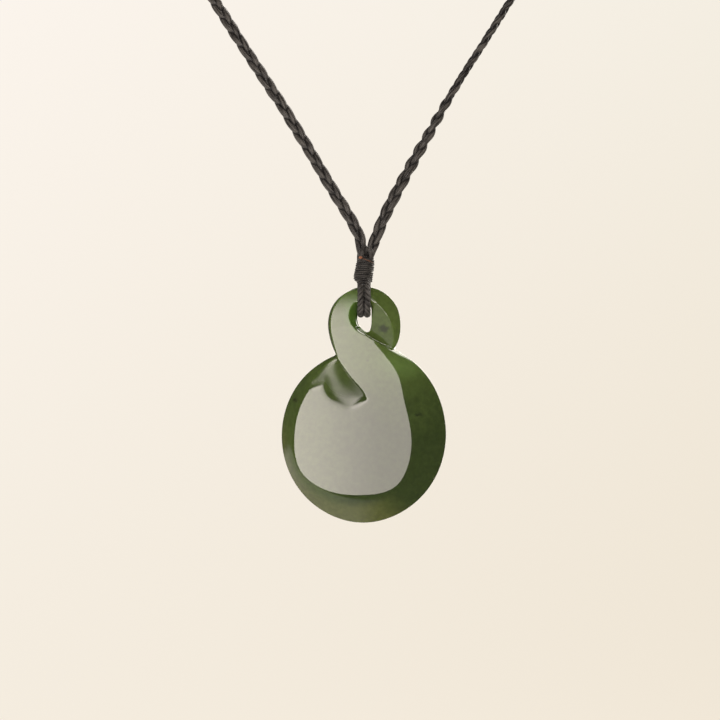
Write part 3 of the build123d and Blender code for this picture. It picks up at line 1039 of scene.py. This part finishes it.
def make_stage(stage):
    """The camera, the backdrop, what the polish mirrors, and a softbox in front and behind."""
    add_camera(stage)
    add_backdrop()
    bpy.context.scene.world = studio_world()
    x, y, z = SOFTBOX_PLACE
    add_softbox(
        "rear_softbox", DISC_MIDDLE + Vector((-x, -y, z)), Vector((0, -1, 0)),
        stage.softbox * REAR_SHARE,
    )
    add_softbox("softbox", DISC_MIDDLE + SOFTBOX_PLACE, Vector((0, 1, 0)), stage.softbox)
    bpy.context.scene.view_settings.view_transform = "Standard"


class GREENSTONE_OT_stage(Operator):
    """Set the camera, the backdrop and the lights"""

    bl_idname = "greenstone.stage"
    bl_label = "Stage"

    def execute(self, context):
        make_stage(context.scene.greenstone_stage)
        return {"FINISHED"}


class GREENSTONE_OT_stone(Operator):
    """Polish the carved stone and give it its jade"""

    bl_idname = "greenstone.stone"
    bl_label = "Carved stone"

    def execute(self, context):
        make_stone(context.scene.greenstone_stone)
        return {"FINISHED"}


class GREENSTONE_OT_neck_cords(Operator):
    """Plait the two halves of the neck cord"""

    bl_idname = "greenstone.neck_cords"
    bl_label = "Plaited neck cords"

    def execute(self, context):
        make_neck_cords(context.scene.greenstone_cord)
        return {"FINISHED"}


class GREENSTONE_OT_eye_loops(Operator):
    """Twist the doubled cord's two bundles through the eye"""

    bl_idname = "greenstone.eye_loops"
    bl_label = "Loops through the eye"

    def execute(self, context):
        make_eye_loops(context.scene.greenstone_cord)
        return {"FINISHED"}


class GREENSTONE_OT_whippings(Operator):
    """Wind the thread above the stone and at the nape"""

    bl_idname = "greenstone.whippings"
    bl_label = "Whippings"

    def execute(self, context):
        make_cord_whipping(context.scene.greenstone_cord)
        make_nape_whipping(context.scene.greenstone_cord)
        return {"FINISHED"}


OPERATORS = (
    GREENSTONE_OT_stage, GREENSTONE_OT_stone, GREENSTONE_OT_neck_cords, GREENSTONE_OT_eye_loops,
    GREENSTONE_OT_whippings,
)


class GREENSTONE_PT_panel(Panel):
    """The pendant's pieces and their settings"""

    bl_label = "Greenstone pendant"
    bl_idname = "GREENSTONE_PT_panel"
    bl_space_type = "VIEW_3D"
    bl_region_type = "UI"
    bl_category = "Greenstone"

    def draw(self, context):
        for operator in OPERATORS:
            self.layout.operator(operator.bl_idname)
        for group in settings():
            box = self.layout.box()
            for name in type(group).__annotations__:
                box.prop(group, name)


CLASSES = (StoneSettings, CordSettings, StageSettings, *OPERATORS, GREENSTONE_PT_panel)


def register():
    for made in CLASSES:
        bpy.utils.register_class(made)
    bpy.types.Scene.greenstone_stone = PointerProperty(type=StoneSettings)
    bpy.types.Scene.greenstone_cord = PointerProperty(type=CordSettings)
    bpy.types.Scene.greenstone_stage = PointerProperty(type=StageSettings)


def unregister():
    del bpy.types.Scene.greenstone_stage
    del bpy.types.Scene.greenstone_cord
    del bpy.types.Scene.greenstone_stone
    for made in reversed(CLASSES):
        bpy.utils.unregister_class(made)


def main():
    """Registers the add-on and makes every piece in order."""
    register()
    bpy.ops.greenstone.stage()
    bpy.ops.greenstone.stone()
    bpy.ops.greenstone.neck_cords()
    bpy.ops.greenstone.eye_loops()
    bpy.ops.greenstone.whippings()


if __name__ == "__main__":
    main()
